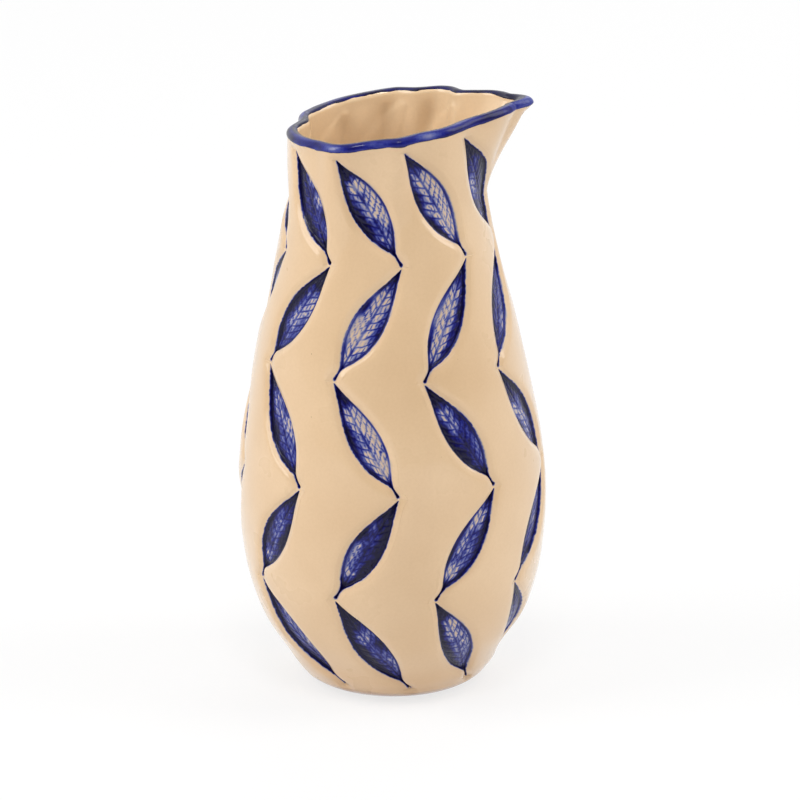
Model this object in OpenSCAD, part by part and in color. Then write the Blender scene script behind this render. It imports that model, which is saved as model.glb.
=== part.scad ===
// Stoneware jug with a pulled spout, a blue rim and blue leaves pressed into its wall.
// The origin is the centre of the foot on the ground, and the spout points along +X.

/* [Foot] */
// Outer radius of the bare clay ring that the jug stands on
foot_r = 30; // [27:0.5:33]
// Width of the foot ring
foot_w = 5; // [3:0.5:8]
// Height of the foot ring
foot_h = 2; // [1:0.25:4]
// How far the body stands out past the foot ring
heel_out = 5.25; // [3:0.25:8]

/* [Body] */
// Largest radius, at the belly
belly_r = 65.2; // [58:0.2:74]
// Height of the belly's widest place
belly_z = 85; // [75:1:95]
// Smallest radius, at the neck
neck_r = 42.6; // [36:0.2:48]
// Height of the neck's narrowest place
neck_z = 210; // [200:1:220]
// How far the neck leans back, away from the spout
neck_back = 3.2; // [0:0.2:5]
// How far the mouth comes forward again above the neck
mouth_forward = 1; // [0:0.2:3]
// Thickness of the clay wall
wall = 5; // [3.5:0.25:7]
// Thickness of the floor
floor_t = 6; // [4:0.5:9]
// Radius of the inside corner between the floor and the wall
corner_r = 10; // [6:0.5:14]

/* [Rim and spout] */
// Radius of the rim beside the spout
rim_r = 42; // [37:0.2:46]
// Height of the rim's crest above the middle of the mouth
rim_z = 246.8; // [240:0.2:260]
// Angle at which the rim climbs towards the spout
rim_angle = 7.2; // [0:0.2:10]
// Length below the rim over which that climb fades out
climb_h = 95; // [70:1:120]
// How far the spout's lip reaches out past the rim's circle
spout_reach = 18; // [12:0.5:22]
// Height of the spout, from its start to the rim
spout_h = 36; // [30:1:40]
// Half of the angle that the spout takes of the rim
spout_angle = 42; // [34:1:50]
// Half of the angle that the narrow beak takes
beak_angle = 8; // [6:0.5:11]
// Extra thickness of the clay in the beak
beak_t = 2.2; // [0:0.2:3]
// Depth of the soft flutes at the rim
flute_d = 2.4; // [0.5:0.1:3.5]
// Length of the flutes below the rim
flute_h = 58; // [40:1:80]
// Half of the angle that one flute takes
flute_angle = 17; // [12:1:20]

/* [Glaze] */
// Thickness of the clear glaze inside
liner_t = 0.4; // [0.3:0.05:0.8]
// Thickness of the blue coat on the rim
band_t = 0.5; // [0.3:0.05:0.8]
// Height of the blue coat below the lip, outside
band_h = 1.6; // [1:0.1:4]
// Height of the blue coat below the lip, inside
band_in = 1; // [0.5:0.1:3]
// Clearance between a coat and the clay that shares its grid
coat_gap = 0.25; // [0.2:0.05:0.4]

/* [Leaves] */
// Length of a leaf with its stem
leaf_l = 53; // [44:1:54]
// Width of a leaf
leaf_w = 14; // [10:0.5:15]
// Width of a leaf's stem
stem_w = 1.6; // [1:0.1:2.5]
// Depth to which a leaf is pressed into the wall
press_d = 1.9; // [1.2:0.1:2.4]
// Width of the sloping edge of a pressed leaf
press_edge = 1.5; // [1:0.1:2]
// Thickness of the blue coat on a leaf's bed
leaf_t = 0.5; // [0.3:0.05:0.8]
// Clearance between a leaf's coat and its bed
leaf_gap = 0.3; // [0.25:0.05:0.4]
// Lean of the leaves, to the left and to the right in turn
leaf_tilt = 32; // [26:1:36]
// Bare height between the lowest leaves and the foot
leaf_low = 5; // [3:0.5:9]
// Bare height between the highest leaves and the rim's coat
leaf_top = 3; // [2:0.5:8]

/* [Hidden] */

// Colours of the clay, the glaze over it and the blue
clay = [0.80, 0.66, 0.50];
glazed = [0.89, 0.78, 0.62];
lining = [0.84, 0.71, 0.53];
cobalt = [0.14, 0.18, 0.48];

// Chamfer on the foot ring's outer edges
foot_bevel = foot_h / 4;
// Half the wall, which rounds the lip
lip_r = wall / 2;
// Height where the straight wall ends and the lip's rounding starts
lip_z = rim_z - lip_r;
// Top of the floor
floor_z = foot_h + floor_t;
// Height where the spout starts
spout_z = rim_z - spout_h;
// Radius of the body's flat underside
base_r = foot_r + heel_out;
// Small step for slopes
probe = wall / 20;

// Profile of the body: [share of the height, share of the radius] from the base to the belly
base_shares = [[0, 0], [0.02, 0.095], [0.07, 0.22], [0.17, 0.395], [0.31, 0.64], [0.52, 0.855], [0.76, 0.967]];
// and from the belly to the neck
neck_shares = [[0, 0], [0.18, 0.08], [0.39, 0.285], [0.61, 0.535], [0.81, 0.81], [1, 1]];
knots = concat(
    [for (s = base_shares) [foot_h + s[0] * (belly_z - foot_h), base_r + s[1] * (belly_r - base_r)]],
    [for (s = neck_shares) [belly_z + s[0] * (neck_z - belly_z), belly_r + s[1] * (neck_r - belly_r)]],
    [[lip_z, rim_r]]);

// Where the flutes press the rim in, and how deep as shares: a share below zero stands out
flute_places = [34, 71, 106, 166, 240, 264, 290];
flute_depth_shares = [1, 1.1, 0.2, 1.3, -1, 0.7, 0.8];
// Share of the reach that is the narrow beak
beak_share = 0.32;
// Roundness of the beak's tip, as a share of its angle
beak_round_share = 0.25;
// How the spout bends out, and how the neck leans back: 1 is straight
spout_bend = 1.3;
lean_bend = 1.7;

// Angles of the grid: close together on the beak, wider on the spout and widest behind
beak_steps = 4;
spout_steps = 8;
back_steps = 48;
half_spout = concat(
    [for (i = [1:beak_steps]) i / beak_steps * beak_angle * 1.25],
    [for (i = [1:spout_steps]) beak_angle * 1.25 + i / spout_steps * (spout_angle - beak_angle * 1.25)]);
angles = concat([0], half_spout,
    [for (i = [1:back_steps - 1]) spout_angle + i / back_steps * (360 - 2 * spout_angle)],
    [for (i = [len(half_spout) - 1:-1:0]) 360 - half_spout[i]]);

// Heights of the grid's rings inside, and outside below the leaves and above them
corner_shares = [0, 0.03, 0.12, 0.3, 0.6, 1];
heel_shares = [0, 0.35, 0.7];
inner_rings = 12;
spout_rings = 5;
heel_z = [for (s = heel_shares) foot_h + s * leaf_low];
crest_z = [lip_z - band_h, lip_z];
inner_z = concat(
    [for (s = corner_shares) floor_z + s * corner_r],
    [for (i = [1:inner_rings]) between(floor_z + corner_r, spout_z, i / inner_rings)],
    [for (i = [1:spout_rings]) between(spout_z, lip_z - band_in, i / spout_rings)],
    [lip_z]);
lip_turns = [45, 90, 135];

// Leaves: columns in a row, rows, and a leaf's outline as [share of the length, share of the width]
// from the stem to the tip
leaf_columns = 9;
leaf_rows = 5;
leaf_shares = [[0.1, 0.1], [0.18, 0.42], [0.28, 0.76], [0.4, 0.96], [0.52, 1], [0.64, 0.88],
    [0.76, 0.64], [0.88, 0.32]];
// Width of the tip as a share of the stem's
tip_share = 0.4;
// Place of the first column beside the spout, as a share of a column
column_share = 0.5;
leaf_widths = concat([[0, stem_w]],
    [for (s = leaf_shares) [s[0] * leaf_l, max(stem_w, s[1] * leaf_w)]],
    [[leaf_l, stem_w * tip_share]]);
// Rings of the grid across a leaf, as shares of the height that it takes
rung_shares = [0, 0.04, 0.16, 0.3, 0.44, 0.58, 0.72, 0.86, 0.96, 1];
// Cells between two leaves of a row
gap_cells = 6;
// Share of a pressed leaf's sloping edge that lies outside its outline
edge_out_share = 0.15;
// Least half width of a leaf's bed, as a share of the stem's width
bed_share = 0.35;
// Bare margin of the bed round its coat, as shares of the bed's width and of the next cell's height
side_share = 0.06;
end_share = 0.1;
// Rounds of working out where a leaning leaf's outline crosses a ring
outline_tries = 4;
// Height that a leaning leaf takes, and heights of the middle of the lowest and the highest row
leaf_rise = leaf_l * cos(leaf_tilt);
row_low = foot_h + leaf_low + leaf_rise / 2;
row_high = lip_z - band_h - leaf_top - leaf_rise / 2;

function between(a, b, share) = a + (b - a) * share;
function clip(x) = max(0, min(1, x));
function ease(x) = let (u = clip(x)) u * u * (3 - 2 * u);
function last(list) = list[len(list) - 1];

// Profile: a smooth curve through the knots
function run(i) = knots[i + 1][0] - knots[i][0];
function slope(i) = (knots[i + 1][1] - knots[i][1]) / run(i);
inner_slopes = [for (i = [1:len(knots) - 2])
    (slope(i - 1) * run(i) + slope(i) * run(i - 1)) / (run(i - 1) + run(i))];
slopes = concat([1.5 * slope(0) - 0.5 * inner_slopes[0]], inner_slopes,
    [1.5 * slope(len(knots) - 2) - 0.5 * last(inner_slopes)]);
function curve(a, b, ma, mb, u) = a * (2 * u ^ 3 - 3 * u ^ 2 + 1) + ma * (u ^ 3 - 2 * u ^ 2 + u)
    + b * (3 * u ^ 2 - 2 * u ^ 3) + mb * (u ^ 3 - u ^ 2);
function profile(z) =
    let (h = max(knots[0][0], min(last(knots)[0], z)),
        i = min(len(knots) - 2, len([for (k = knots) if (k[0] <= h) k]) - 1),
        u = (h - knots[i][0]) / run(i))
    curve(knots[i][1], knots[i + 1][1], slopes[i] * run(i), slopes[i + 1] * run(i), u);

// Angle between two directions, without sign
function apart(a, b) = let (d = abs(a - b) % 360) min(d, 360 - d);
function bump(a, half) = a >= half ? 0 : cos(90 * a / half) ^ 2;

// The beak: a narrow rounded point in the middle of the spout
function beak(a) =
    let (r = beak_round_share * beak_angle, s = sqrt(a ^ 2 + r ^ 2) - r)
    max(0, 1 - s / (sqrt(beak_angle ^ 2 + r ^ 2) - r));
function reach(z) = spout_reach * clip((z - spout_z) / (lip_z - spout_z)) ^ spout_bend;
function spout(a, z) = reach(z) * ((1 - beak_share) * bump(a, spout_angle) + beak_share * beak(a));

// The flutes: soft dents that deepen towards the rim
function flutes(a, z) = flute_d * ease((z - lip_z + flute_h) / flute_h)
    * sum([for (i = [0:len(flute_places) - 1])
        flute_depth_shares[i] * bump(apart(a, flute_places[i]), flute_angle)]);
function sum(list, i = 0) = i == len(list) ? 0 : list[i] + sum(list, i + 1);

// Radius of the outside and of the inside at an angle and a height
function outer_r(a, z) = profile(z) + spout(apart(a, 0), z) - flutes(a, z);
function wall_slope(z) = (profile(z + probe) - profile(z - probe)) / (2 * probe);
function corner(z) = let (u = clip((floor_z + corner_r - z) / corner_r)) corner_r * (1 - sqrt(1 - u ^ 2));
function inner_r(a, z) = outer_r(a, z) - wall * sqrt(1 + wall_slope(z) ^ 2) - corner(z)
    - beak_t * beak(apart(a, 0)) * clip((z - spout_z) / (lip_z - spout_z));

// Height on the jug of the grid height z: the rings tilt towards the spout as they near the rim
function climb(a, z) = tan(rim_angle) * cos(a) * outer_r(a, lip_z)
    * clip((z - lip_z + climb_h) / climb_h) ^ 2;
function centre_x(z) = mouth_forward * ease((z - neck_z) / (lip_z - neck_z)) - neck_back * clip(z / neck_z) ^ lean_bend;

// A point on the wall: turn is 0 outside, 180 inside and between them over the lip
function skin(a, z, turn, off) =
    let (ro = outer_r(a, z), ri = inner_r(a, z),
        m = turn == 0 ? (outer_r(a, z + probe) - ro) / probe
            : turn == 180 ? (inner_r(a, z + probe) - ri) / probe : 0,
        n = off / sqrt(1 + m ^ 2),
        r = (ro + ri) / 2 + ((ro - ri) / 2 + n) * cos(turn),
        up = climb(a, z) + (lip_r + off) * sin(turn) - m * n * cos(turn))
    [centre_x(z) + r * cos(a), r * sin(a), z + up];
function ring(z, turn, off) = [for (a = angles) skin(a, z, turn, off)];
function outside(zs, off) = [for (z = zs) ring(z, 0, off)];
function over_lip(off) = [for (t = lip_turns) ring(lip_z, t, off)];
function inside(zs, off) = [for (z = zs) ring(z, 180, off)];
function reverse(list) = [for (i = [len(list) - 1:-1:0]) list[i]];
function joined(lists) = [for (list = lists) each list];

// Triangles between ring j and ring k of n points: flips says, side by side, which way they are cut
function strip(n, j, k, flips = [false]) = [for (i = [0:n - 1])
    let (next = (i + 1) % n, a = j * n + i, b = j * n + next, c = k * n + next, d = k * n + i)
    each flips[i % len(flips)] ? [[a, d, b], [d, c, b]] : [[a, c, b], [a, d, c]]];

// A closed solid from rings, with a point at each end
module capped(rings, first, final) {
    n = len(rings[0]);
    m = len(rings);
    polyhedron(
        points = concat(joined(rings), [first, final]),
        faces = concat(
            [for (i = [0:n - 1]) [m * n, i, (i + 1) % n]],
            [for (j = [0:m - 2]) each strip(n, j, j + 1)],
            [for (i = [0:n - 1]) [m * n + 1, (m - 1) * n + (i + 1) % n, (m - 1) * n + i]]));
}

// A closed solid from rings, whose last ring meets the first
module looped(rings) {
    n = len(rings[0]);
    m = len(rings);
    polyhedron(points = joined(rings), faces = [for (j = [0:m - 1]) each strip(n, j, (j + 1) % m)]);
}

// Lean of a row's leaves, its middle height and the height of one of its rungs: the rows lean to the
// left and to the right in turn, so that each column climbs the wall as a zigzag garland
function lean(k) = k % 2 == 0 ? leaf_tilt : -leaf_tilt;
function row_z(k) = between(row_low, row_high, (k - 1) / (leaf_rows - 1));
function rung_z(k, s) = row_z(k) + (rung_shares[s] - 0.5) * leaf_rise;
function column(i) = (i + column_share) * 360 / leaf_columns;

// Half width of a leaf where its outline crosses a height, on its left (-1) or its right (1)
function half_width(up, side, tilt, half, tries) = tries == 0 ? half
    : half_width(up, side, tilt,
        lookup(leaf_l / 2 + (up + side * half * sin(tilt)) / cos(tilt), leaf_widths) / 2, tries - 1);
function bed(up, side, tilt) =
    max(bed_share * stem_w, half_width(up, side, tilt, leaf_w / 4, outline_tries)
        - (1 - edge_out_share) * press_edge) / cos(tilt);

// The grid across one garland at a rung, as [angle from the column's middle, depth in the wall]:
// both sides of the leaf's edge, its bed between them and the gap up to the next garland
function garland(k, s) =
    let (up = rung_z(k, s) - row_z(k), middle = up * tan(lean(k)), r = profile(rung_z(k, s)),
        left = middle - bed(up, -1, lean(k)), right = middle + bed(up, 1, lean(k)),
        edge = press_edge / cos(leaf_tilt), pitch = 2 * PI * r / leaf_columns,
        depth = s == 0 || s == len(rung_shares) - 1 ? 0 : press_d,
        places = concat([[left - edge, 0], [left, depth], [right, depth], [right + edge, 0]],
            [for (j = [1:gap_cells - 1]) [between(right + edge, left - edge + pitch, j / gap_cells), 0]]))
    [for (p = places) [p[0] / r * 180 / PI, p[1]]];
function across(g) = [for (i = [0:leaf_columns - 1]) each [for (p = g) [column(i) + p[0], p[1]]]];
function pressed_ring(g, z) = [for (p = across(g)) skin(p[0], z, 0, -p[1])];

// Outside of the wall up to the tips of the highest leaves
top_rung = len(rung_shares) - 1;
pressed_rings = concat([for (z = heel_z) pressed_ring(garland(1, 0), z)],
    [for (k = [1:leaf_rows]) each [for (s = [0:top_rung]) pressed_ring(garland(k, s), rung_z(k, s))]]);

// Triangles between two rings with different angles: each side of one ring meets the corner of the
// other that lies nearest to its middle
function middles(list) = [for (i = [0:len(list) - 1])
    (list[i] + (i + 1 < len(list) ? list[i + 1] : list[0] + 360)) / 2];
function wrapped(a, start) = start + ((a - start) % 360 + 360) % 360;
function stitch(low, high, low_first, high_first) =
    let (n = len(low), m = len(high), low_middles = middles(low), high_middles = middles(high))
    concat(
        [for (i = [0:n - 1]) let (a = wrapped(low_middles[i], high[0]))
            [low_first + i, high_first + len([for (b = high_middles) if (b < a) b]) % m,
                low_first + (i + 1) % n]],
        [for (j = [0:m - 1]) let (a = wrapped(high_middles[j], low[0]))
            [high_first + j, high_first + (j + 1) % m,
                low_first + len([for (b = low_middles) if (b <= a) b]) % n]]);

// One leaf's coat: a thin plate on the leaf's bed
module leaf(k, i) {
    corners = [[side_share, leaf_gap + leaf_t], [1 - side_share, leaf_gap + leaf_t],
        [1 - side_share, leaf_gap], [side_share, leaf_gap]];
    rungs = [for (s = [1:top_rung - 1]) let (g = garland(k, s), z = rung_z(k, s))
        [for (c = corners) between(skin(column(i) + g[1][0], z, 0, c[1] - press_d),
            skin(column(i) + g[2][0], z, 0, c[1] - press_d), c[0])]];
    m = len(rungs) - 1;
    sections = concat([between(rungs[0], rungs[1], end_share)], [for (j = [1:m - 1]) rungs[j]],
        [between(rungs[m], rungs[m - 1], end_share)]);
    n = len(corners);
    flip = lean(k) > 0;
    polyhedron(
        points = joined(sections),
        faces = concat([[0, 1, 2], [0, 2, 3]],
            [for (j = [0:m - 1]) each strip(n, j, j + 1, [flip, flip, !flip, flip])],
            [[m * n, m * n + 2, m * n + 1], [m * n, m * n + 3, m * n + 2]]));
}

// One row of leaves: the first and the last column stand beside the spout
module leaf_row(k) {
    color(cobalt)
    for (i = [0:leaf_columns - 1]) leaf(k, i);
}

// Wall, floor, spout and lip: one piece of cast clay. The grid follows the leaves up to their
// highest tips, and the spout from there on
module stoneware_body() {
    upper = concat(outside(crest_z, 0), over_lip(0), reverse(inside(inner_z, 0)));
    n = len(pressed_rings[0]);
    m = len(angles);
    low_last = len(pressed_rings) * n;
    points = concat(joined(pressed_rings), joined(upper),
        [[centre_x(foot_h), 0, foot_h], [centre_x(floor_z), 0, floor_z]]);
    high_last = len(points) - 2;
    heel = len(heel_z);
    shift = [low_last, low_last, low_last];
    color(glazed)
    polyhedron(points = points, faces = concat(
        [for (i = [0:n - 1]) [high_last, i, (i + 1) % n]],
        [for (j = [0:heel - 1]) each strip(n, j, j + 1)],
        [for (j = [heel:len(pressed_rings) - 2])
            each strip(n, j, j + 1, [lean(1 + floor((j - heel) / (top_rung + 1))) > 0])],
        stitch([for (p = across(garland(leaf_rows, top_rung))) p[0]], angles, low_last - n, low_last),
        [for (j = [0:len(upper) - 2]) for (f = strip(m, j, j + 1)) f + shift],
        [for (i = [0:m - 1]) [high_last + 1, high_last - m + (i + 1) % m, high_last - m + i]]));
}

// Bare clay ring under the body
module foot_ring() {
    color(clay)
    rotate_extrude($fn = 96)
    polygon([[foot_r - foot_w, foot_h], [foot_r - foot_w, foot_bevel], [foot_r - foot_w + foot_bevel, 0],
        [foot_r - foot_bevel, 0], [foot_r, foot_bevel], [foot_r, foot_h]]);
}

// Clear glaze on the inside, from the middle of the floor up to the blue rim
module liner_glaze() {
    zs = [for (z = inner_z) if (z < lip_z - band_in) z];
    near = coat_gap;
    far = coat_gap + liner_t;
    color(lining)
    capped(concat(inside(zs, near), reverse(inside(zs, far))),
        [centre_x(floor_z), 0, floor_z + near], [centre_x(floor_z), 0, floor_z + far]);
}

// Blue coat over the lip
module rim_band() {
    zo = [lip_z - band_h, lip_z];
    zi = [lip_z, lip_z - band_in];
    near = coat_gap;
    far = coat_gap + band_t;
    color(cobalt)
    looped(concat(outside(zo, far), over_lip(far), inside(zi, far),
        reverse(concat(outside(zo, near), over_lip(near), inside(zi, near)))));
}

module leaf_row_1() leaf_row(1);
module leaf_row_2() leaf_row(2);
module leaf_row_3() leaf_row(3);
module leaf_row_4() leaf_row(4);
module leaf_row_5() leaf_row(5);

stoneware_body();
foot_ring();
liner_glaze();
rim_band();
leaf_row_1();
leaf_row_2();
leaf_row_3();
leaf_row_4();
leaf_row_5();
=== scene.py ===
"""Looks of a stoneware jug: clear glaze over buff clay, a blue rim and pressed blue leaves."""

import math

import bpy
import numpy as np
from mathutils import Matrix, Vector


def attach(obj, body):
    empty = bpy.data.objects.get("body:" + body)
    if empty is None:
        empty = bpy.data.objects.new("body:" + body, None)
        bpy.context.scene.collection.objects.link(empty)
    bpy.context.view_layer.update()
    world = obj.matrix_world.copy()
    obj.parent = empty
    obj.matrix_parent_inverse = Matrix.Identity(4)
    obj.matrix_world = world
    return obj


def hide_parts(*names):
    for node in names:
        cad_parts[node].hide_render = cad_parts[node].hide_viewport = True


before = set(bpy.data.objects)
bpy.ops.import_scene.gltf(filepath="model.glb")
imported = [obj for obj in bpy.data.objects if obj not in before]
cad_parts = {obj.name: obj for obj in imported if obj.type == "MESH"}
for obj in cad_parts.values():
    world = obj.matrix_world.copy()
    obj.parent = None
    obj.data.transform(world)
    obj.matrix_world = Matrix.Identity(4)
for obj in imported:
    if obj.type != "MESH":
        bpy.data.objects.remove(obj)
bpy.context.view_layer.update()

# All sizes are in millimetres, as in the part, and angles are in degrees
MM = 0.001

# Foot and body
FOOT_R = 30.0
FOOT_W = 5.0
FOOT_H = 2.0
HEEL_OUT = 5.25
BELLY_R = 65.2
BELLY_Z = 85.0
NECK_R = 42.6
NECK_Z = 210.0
NECK_BACK = 3.2
MOUTH_FORWARD = 1.0
WALL = 5.0
FLOOR_T = 6.0
CORNER_R = 10.0

# Rim and spout
RIM_R = 42.0
RIM_Z = 246.8
RIM_ANGLE = 7.2
CLIMB_H = 95.0
SPOUT_REACH = 18.0
SPOUT_H = 36.0
SPOUT_ANGLE = 42.0
BEAK_ANGLE = 8.0
BEAK_T = 2.2
BEAK_SHARE = 0.32
BEAK_ROUND_SHARE = 0.25
SPOUT_BEND = 1.3
LEAN_BEND = 1.7
FLUTE_D = 2.4
FLUTE_H = 58.0
FLUTE_ANGLE = 17.0
FLUTES = ((34, 1.0), (71, 1.1), (106, 0.2), (166, 1.3), (240, -1.0), (264, 0.7), (290, 0.8))

# Leaves
LEAF_L = 53.0
LEAF_W = 14.0
STEM_W = 1.6
LEAF_TILT = 32.0
LEAF_LOW = 5.0
LEAF_TOP = 3.0
LEAF_COLUMNS = 9
LEAF_ROWS = 5
BAND_H = 1.6
COLUMN_SHARE = 0.5
TIP_SHARE = 0.4
LEAF_SHARES = ((0.1, 0.1), (0.18, 0.42), (0.28, 0.76), (0.4, 0.96), (0.52, 1.0), (0.64, 0.88),
               (0.76, 0.64), (0.88, 0.32))

# Places worked out from the sizes
LIP_R = WALL / 2
LIP_Z = RIM_Z - LIP_R
FLOOR_Z = FOOT_H + FLOOR_T
SPOUT_Z = RIM_Z - SPOUT_H
BASE_R = FOOT_R + HEEL_OUT
PROBE = WALL / 20
FLOOR_BACK = NECK_BACK * (FLOOR_Z / NECK_Z) ** LEAN_BEND
LEAF_RISE = LEAF_L * math.cos(math.radians(LEAF_TILT))
ROW_LOW = FOOT_H + LEAF_LOW + LEAF_RISE / 2
ROW_HIGH = LIP_Z - BAND_H - LEAF_TOP - LEAF_RISE / 2
ROW_GAP = (ROW_HIGH - ROW_LOW) / (LEAF_ROWS - 1) - LEAF_RISE

# Profile: shares of the way from the base to the belly, and from the belly to the neck
BASE_SHARES = ((0, 0), (0.02, 0.095), (0.07, 0.22), (0.17, 0.395), (0.31, 0.64), (0.52, 0.855),
               (0.76, 0.967))
NECK_SHARES = ((0, 0), (0.18, 0.08), (0.39, 0.285), (0.61, 0.535), (0.81, 0.81), (1, 1))

# Where a leaf is pressed in: a round shoulder, a steep wall, and a plate with a groove along its edge
SHOULDER_D = 0.4
SHOULDER_OUT = 1.6
SHOULDER_IN = 0.3
PRESS_D = 1.2
PRESS_OUT = 0.15
PRESS_IN = 0.75
PRESS_RANGE = (0.9, 1.15)
PLATE_RISE = 0.16
PLATE_AT = 0.5
PLATE_SOFT = 0.9
EDGE_D = 0.16
EDGE_AT = 1.25
EDGE_W = 0.35

# Clay round the leaves: a soft hollow with a low ridge in it, blended between leaves that are near, which
# fades towards the lip and the foot
HALO_D = 0.85
HALO_W = 5.0
HALO_SOFT = 1.2
RIDGE_D = 0.25
RIDGE_AT = 2.6
RIDGE_W = 1.1
FADE_H = 4.0
FINE_TO = LIP_Z - 2 * FADE_H
NEAR_ANGLE = 45
NEAR_H = 12
NEAR_SPAN = (-4, 40)
TINY = 1e-12

# Slow waves of the hand: turns round the jug, degrees to each millimetre up, start and share
WAVES = ((3, 1.1, 20, 1.0), (5, -0.7, 140, 1.0), (2, 2.3, 250, 1.0), (11, 3.1, 0, 0.5))
WAVE_D = 0.16
WAVE_BACK = 0.2
NECK_WAVE = 1.0
NECK_WAVE_Z = 150
NECK_WAVE_H = 60

# Veins: a midrib, side veins that sweep forward, and a cross line between them
RIB_D = 0.32
RIB_W = 0.5
VEIN_D = 0.24
VEIN_GAP = 4.0
VEIN_W = 0.36
VEIN_SWEEP = 0.9
VEIN_BEND = 0.045
VEIN_WARP = 0.45
VEIN_STRETCH = 1.35
CROSS_GAP = 1.8
CROSS_W = 0.28
CROSS_SHARE = 0.75
CROSS_STRETCH = 1.3

# How blue a leaf is: a wash with blobs and spots in it, more at the stem, the tip and one side
STEM_END = 0.2
STEM_SOFT = 0.12
TIP_START = 0.7
TIP_SOFT = 0.22
BACK_START = 0.1
BACK_SOFT = 0.7
BACK_SHARE = 0.8
BLOB_L = 6.5
BLOB_W = 4.5
SPOT_W = 1.3
WASH_LEAST = 0.24
WASH_TONE = 0.55
WASH_ENDS = 0.75
WASH_BLOBS = 0.4
CELL_LEAST = 0.07

# The dark line inside its edge, pooled blue with painted shade on its left, the ragged end of the paint and
# the smear past it
LINE_AT = 0.8
LINE_W = 0.6
POOL_SHADE_FROM = 0.45
POOL_SHADE_SOFT = 0.3
PAINT_OUT = 0.12
PAINT_SOFT = 0.45
RAGGED = 0.14
RAG_W = 0.9
SMEAR = 0.16
SMEAR_OUT = 0.8

# How far the inside stands out behind a leaf, and how far from it that ends
BULGE_D = 0.5
BULGE_W = 3.5

# Folds of the inside: direction at the rim, turn and reach on the way down, height inwards and half width
FOLDS = ((61, 2, 80, -1.7, 5.5), (91, 0, 80, -1.5, 5), (34, 14, 40, 1.0, 4), (122, 0, 80, -1.5, 5),
         (109, 0, 80, 0.9, 7))
FOLD_FADE_H = 13.0

# Blue of the rim: how far down it comes outside, where it ends on the rounding inside, and how thick it is
RIM_DOWN = 0.6
RIM_TURN = 146.0
RIM_TURN_SPOUT = 34
RIM_TURN_MOST = 179
RIM_COAT_T = 0.22
RIM_COAT_EDGE = -0.06
RIM_UNDER = 0.2

# How blue the rim is: a wash with streaks and bristle marks, a line outside and one over the crest, more
# inside and more at the back and on the spout
RIM_BLUE = 0.57
RIM_STREAKS = 0.25
RIM_BRISTLES = 0.1
OUTER_LINE = 0.3
OUTER_LINE_W = 0.1
CREST_LINE = 0.42
CREST_TURN = 96
CREST_W = 17
INSIDE_BLUE = 0.25
BACK_BLUE = 0.3
SPOUT_BLUE = 0.45

# Directions of the rim's and the inside glaze's meshes: on the beak, and round the rest
RIM_DIRECTIONS = (120, 600)
LINER_DIRECTIONS = (56, 310)

# Clear glaze inside: where it starts on the lip under the blue, and how far off the clay its two sides are
LINER_TURN = 112.0
LINER_NEAR = 0.03
LINER_FAR = 0.1

# How a leaf's own surface meets the clay round it: it stands a hair proud up to the seam and dips under
# the clay past it, and the clay is hollow under it
SEAM = 1.9
DIP_FROM = 2.05
DIP_TO = 2.35
DIP_D = 0.07
LIFT = 0.012
TRENCH_OUT = 1.7
TRENCH_IN = 0.3
TRENCH_D = 2.4
END_DIP = 0.2

# Form of a leaf's own piece: its thickness, the share of it that goes where it dips, and where its fine
# edge starts, as a distance and as a least share of the half width
COAT_T = 0.75
COAT_THINS = 0.8
CORE_IN = 1.6
CORE_SHARE = 0.25

# Mesh of the body's outside: directions to each column and rings to each row, the lines above the foot and
# at a strip's free end, how far from that end the other rings and the trench stay, and how the directions
# crowd together towards the spout
BODY_CELLS = 29
BODY_STATIONS = 50
FOOT_LINES = (0, 0.15, 0.4, 0.8, 1.3, 2.0, 2.7, 3.4)
END_LINES = (-0.1, 0.35, 0.9)
END_CLEAR = 1.2
END_SOLID = 0.6
CROWD = 4
CROWD_H = 20
CROWD_ANGLE = 6

# How far the body's own inside stays behind the glaze, and where below the lip that starts
INSIDE_BACK = 0.5
INSIDE_BACK_FROM = 1
INSIDE_BACK_H = 3

# Fineness of the leaves' own meshes
LEAF_STATIONS = 150
EDGE_CELLS = 17
PLATE_CELLS = 21
UNDER_CELLS = 13

# Wear of the foot ring
WORN_D = 0.06

# Seeds of the rim's and the foot's random fields
OUTER_SEEDS = (41, 42)
INNER_SEEDS = (43, 44)
BRUSH_SEED = 45
STREAK_SEED = 46
WORN_SEED = 51

# Camera: how far away it is in metres, and its aim in millimetres
CAMERA_ANGLE = 18.5
CAMERA_FAR = 2.5
CAMERA_AIM = (2.7, 0, 121.95)
CAMERA_LENS = 267.4

# Lights, with places and sizes in metres and power in watts, and the pale surroundings
LIGHT_AIM = (0, 0, 0.12)
LIGHTS = (("left", (-2.0, -0.4, 1.6), (1.3, 2.2), 29), ("right", (2.0, -0.1, 1.8), (1.1, 2.2), 23),
          ("above", (0, -1.1, 2.1), (0.6, 0.6), 12), ("behind", (0.3, 1.6, 1.6), (1.2, 1.2), 8))
AROUND_LIGHT = 0.5
FLOOR_R = 6
FLOOR_WHITE = (0.9, 0.9, 0.9, 1)
FLOOR_GLOW = 0.75
WHITE = (1, 1, 1, 1)


def clip(x):
    """The number held between 0 and 1."""
    return np.clip(x, 0.0, 1.0)


def ease(x):
    """A smooth step from 0 to 1."""
    u = clip(x)
    return u * u * (3 - 2 * u)


def between(a, b, share):
    """The value a share of the way from a to b."""
    return a + (b - a) * share


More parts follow.
